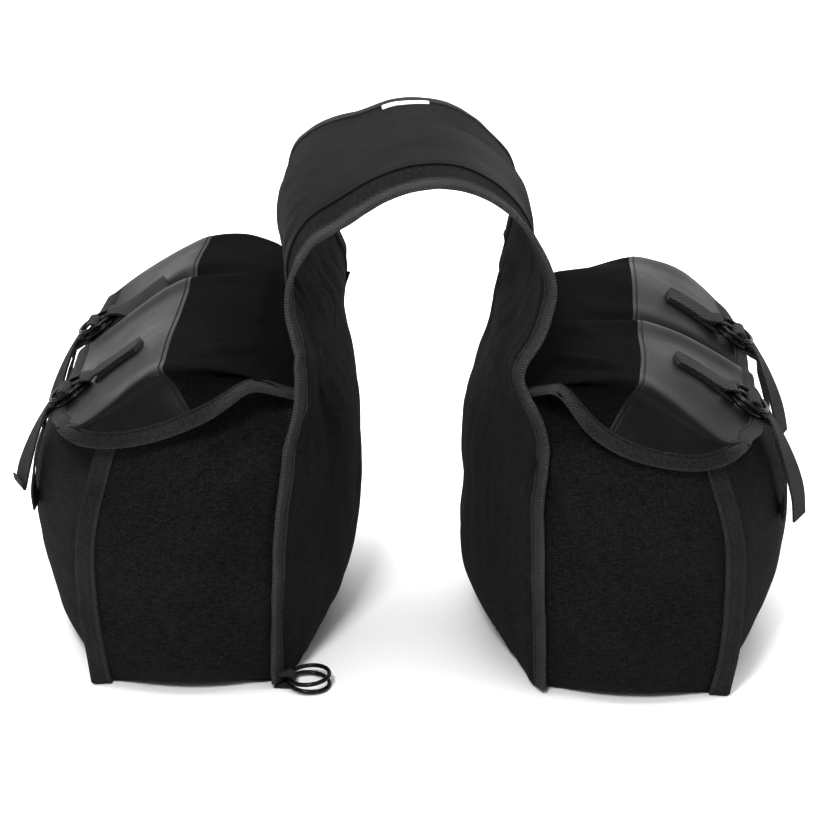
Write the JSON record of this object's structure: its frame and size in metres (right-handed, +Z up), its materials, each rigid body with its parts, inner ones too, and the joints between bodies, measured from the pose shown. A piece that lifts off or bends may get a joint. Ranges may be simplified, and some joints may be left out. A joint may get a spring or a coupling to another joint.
{
  "type": "pannier bag",
  "caption": "Throw-over canvas pannier: stuffed bags joined by a wide canvas bridge, with leather-faced flaps closed by webbing straps through wire rings.",
  "frame": {"origin": "on the floor under the middle of the pannier, at the bottom centre of its box", "axes": "+X across the bicycle towards the right-hand bag, +Y along the bicycle towards the far end, +Z up"},
  "size_m": [0.6892, 0.3712, 0.4506],
  "materials": {
    "canvas": "heavy black cotton canvas, plain weave, matt",
    "leather": "smooth black waxed leather with a soft sheen",
    "binding_tape": "black cotton herringbone tape, folded over the edge and stitched",
    "webbing": "black cotton twill webbing with cut ends",
    "ring_steel": "round steel wire, welded, gloss black",
    "label": "small blank white woven label"
  },
  "bodies": {
    "bridge": {"bridge_canvas": "canvas", "bridge_reinforcement": "leather", "bridge_binding_near": "binding_tape", "bridge_binding_far": "binding_tape", "blank_label": "label"},
    "bag_left": {"back_panel_left": "canvas", "front_panel_left": "canvas", "gusset_near_left": "canvas", "gusset_far_left": "canvas", "base_panel_left": "canvas", "mouth_hem_left": "binding_tape", "flap_seam_left": "binding_tape", "back_binding_near_left": "binding_tape", "back_binding_far_left": "binding_tape", "front_binding_near_left": "binding_tape", "front_binding_far_left": "binding_tape", "strap_near_left": "webbing", "strap_far_left": "webbing", "lash_tab_left": "webbing"},
    "flap_left": {"flap_canvas_left": "canvas", "flap_leather_left": "leather", "flap_binding_left": "binding_tape", "ring_tab_near_left": "webbing", "ring_tab_far_left": "webbing"},
    "lower_ring_near_left": {"lower_ring_near_left": "ring_steel"},
    "upper_ring_near_left": {"upper_ring_near_left": "ring_steel"},
    "lower_ring_far_left": {"lower_ring_far_left": "ring_steel"},
    "upper_ring_far_left": {"upper_ring_far_left": "ring_steel"},
    "lower_lash_ring_left": {"lower_lash_ring_left": "ring_steel"},
    "upper_lash_ring_left": {"upper_lash_ring_left": "ring_steel"},
    "bag_right": {"back_panel_right": "canvas", "front_panel_right": "canvas", "gusset_near_right": "canvas", "gusset_far_right": "canvas", "base_panel_right": "canvas", "mouth_hem_right": "binding_tape", "flap_seam_right": "binding_tape", "back_binding_near_right": "binding_tape", "back_binding_far_right": "binding_tape", "front_binding_near_right": "binding_tape", "front_binding_far_right": "binding_tape", "strap_near_right": "webbing", "strap_far_right": "webbing", "lash_tab_right": "webbing"},
    "flap_right": {"flap_canvas_right": "canvas", "flap_leather_right": "leather", "flap_binding_right": "binding_tape", "ring_tab_near_right": "webbing", "ring_tab_far_right": "webbing"},
    "lower_ring_near_right": {"lower_ring_near_right": "ring_steel"},
    "upper_ring_near_right": {"upper_ring_near_right": "ring_steel"},
    "lower_ring_far_right": {"lower_ring_far_right": "ring_steel"},
    "upper_ring_far_right": {"upper_ring_far_right": "ring_steel"},
    "lower_lash_ring_right": {"lower_lash_ring_right": "ring_steel"},
    "upper_lash_ring_right": {"upper_lash_ring_right": "ring_steel"}
  },
  "joints": [
    {"name": "bag_left_swing", "type": "hinge", "parent": "bridge", "child": "bag_left", "pos_m": [-0.1165, 0, 0.2865], "axis": [0, -1, 0], "range_deg": [-40, 12]},
    {"name": "flap_left_open", "type": "hinge", "parent": "bag_left", "child": "flap_left", "pos_m": [-0.128, 0, 0.291], "axis": [0, 1, 0], "range_deg": [0, 80], "deforming": ["strap_near_left", "strap_far_left"]},
    {"name": "lower_ring_near_left_turn", "type": "hinge", "parent": "flap_left", "child": "lower_ring_near_left", "pos_m": [-0.278, -0.082, 0.2495], "axis": [0, 1, 0], "range_deg": [0, 70]},
    {"name": "upper_ring_near_left_turn", "type": "hinge", "parent": "flap_left", "child": "upper_ring_near_left", "pos_m": [-0.278, -0.082, 0.2495], "axis": [0, 1, 0], "range_deg": [0, 70]},
    {"name": "lower_ring_far_left_turn", "type": "hinge", "parent": "flap_left", "child": "lower_ring_far_left", "pos_m": [-0.278, 0.082, 0.2495], "axis": [0, 1, 0], "range_deg": [0, 70]},
    {"name": "upper_ring_far_left_turn", "type": "hinge", "parent": "flap_left", "child": "upper_ring_far_left", "pos_m": [-0.278, 0.082, 0.2495], "axis": [0, 1, 0], "range_deg": [0, 70]},
    {"name": "lower_lash_ring_left_turn", "type": "hinge", "parent": "bag_left", "child": "lower_lash_ring_left", "pos_m": [-0.1, -0.166, 0.0069], "axis": [0, -1, 0], "range_deg": [-50, 45]},
    {"name": "upper_lash_ring_left_turn", "type": "hinge", "parent": "bag_left", "child": "upper_lash_ring_left", "pos_m": [-0.1, -0.166, 0.0069], "axis": [0, -1, 0], "range_deg": [-50, 45]},
    {"name": "bag_right_swing", "type": "hinge", "parent": "bridge", "child": "bag_right", "pos_m": [0.1165, 0, 0.2865], "axis": [0, 1, 0], "range_deg": [-40, 12]},
    {"name": "flap_right_open", "type": "hinge", "parent": "bag_right", "child": "flap_right", "pos_m": [0.128, 0, 0.291], "axis": [0, -1, 0], "range_deg": [0, 80], "deforming": ["strap_near_right", "strap_far_right"]},
    {"name": "lower_ring_near_right_turn", "type": "hinge", "parent": "flap_right", "child": "lower_ring_near_right", "pos_m": [0.278, -0.082, 0.2495], "axis": [0, -1, 0], "range_deg": [0, 70]},
    {"name": "upper_ring_near_right_turn", "type": "hinge", "parent": "flap_right", "child": "upper_ring_near_right", "pos_m": [0.278, -0.082, 0.2495], "axis": [0, -1, 0], "range_deg": [0, 70]},
    {"name": "lower_ring_far_right_turn", "type": "hinge", "parent": "flap_right", "child": "lower_ring_far_right", "pos_m": [0.278, 0.082, 0.2495], "axis": [0, -1, 0], "range_deg": [0, 70]},
    {"name": "upper_ring_far_right_turn", "type": "hinge", "parent": "flap_right", "child": "upper_ring_far_right", "pos_m": [0.278, 0.082, 0.2495], "axis": [0, -1, 0], "range_deg": [0, 70]},
    {"name": "lower_lash_ring_right_turn", "type": "hinge", "parent": "bag_right", "child": "lower_lash_ring_right", "pos_m": [0.1, 0.166, 0.0069], "axis": [0, 1, 0], "range_deg": [-50, 45]},
    {"name": "upper_lash_ring_right_turn", "type": "hinge", "parent": "bag_right", "child": "upper_lash_ring_right", "pos_m": [0.1, 0.166, 0.0069], "axis": [0, 1, 0], "range_deg": [-50, 45]}
  ],
  "couplings": [
    {"joint": "upper_ring_near_left_turn", "follows": "lower_ring_near_left_turn", "ratio": 1},
    {"joint": "upper_ring_far_left_turn", "follows": "lower_ring_far_left_turn", "ratio": 1},
    {"joint": "upper_lash_ring_left_turn", "follows": "lower_lash_ring_left_turn", "ratio": 1},
    {"joint": "upper_ring_near_right_turn", "follows": "lower_ring_near_right_turn", "ratio": 1},
    {"joint": "upper_ring_far_right_turn", "follows": "lower_ring_far_right_turn", "ratio": 1},
    {"joint": "upper_lash_ring_right_turn", "follows": "lower_lash_ring_right_turn", "ratio": 1}
  ]
}
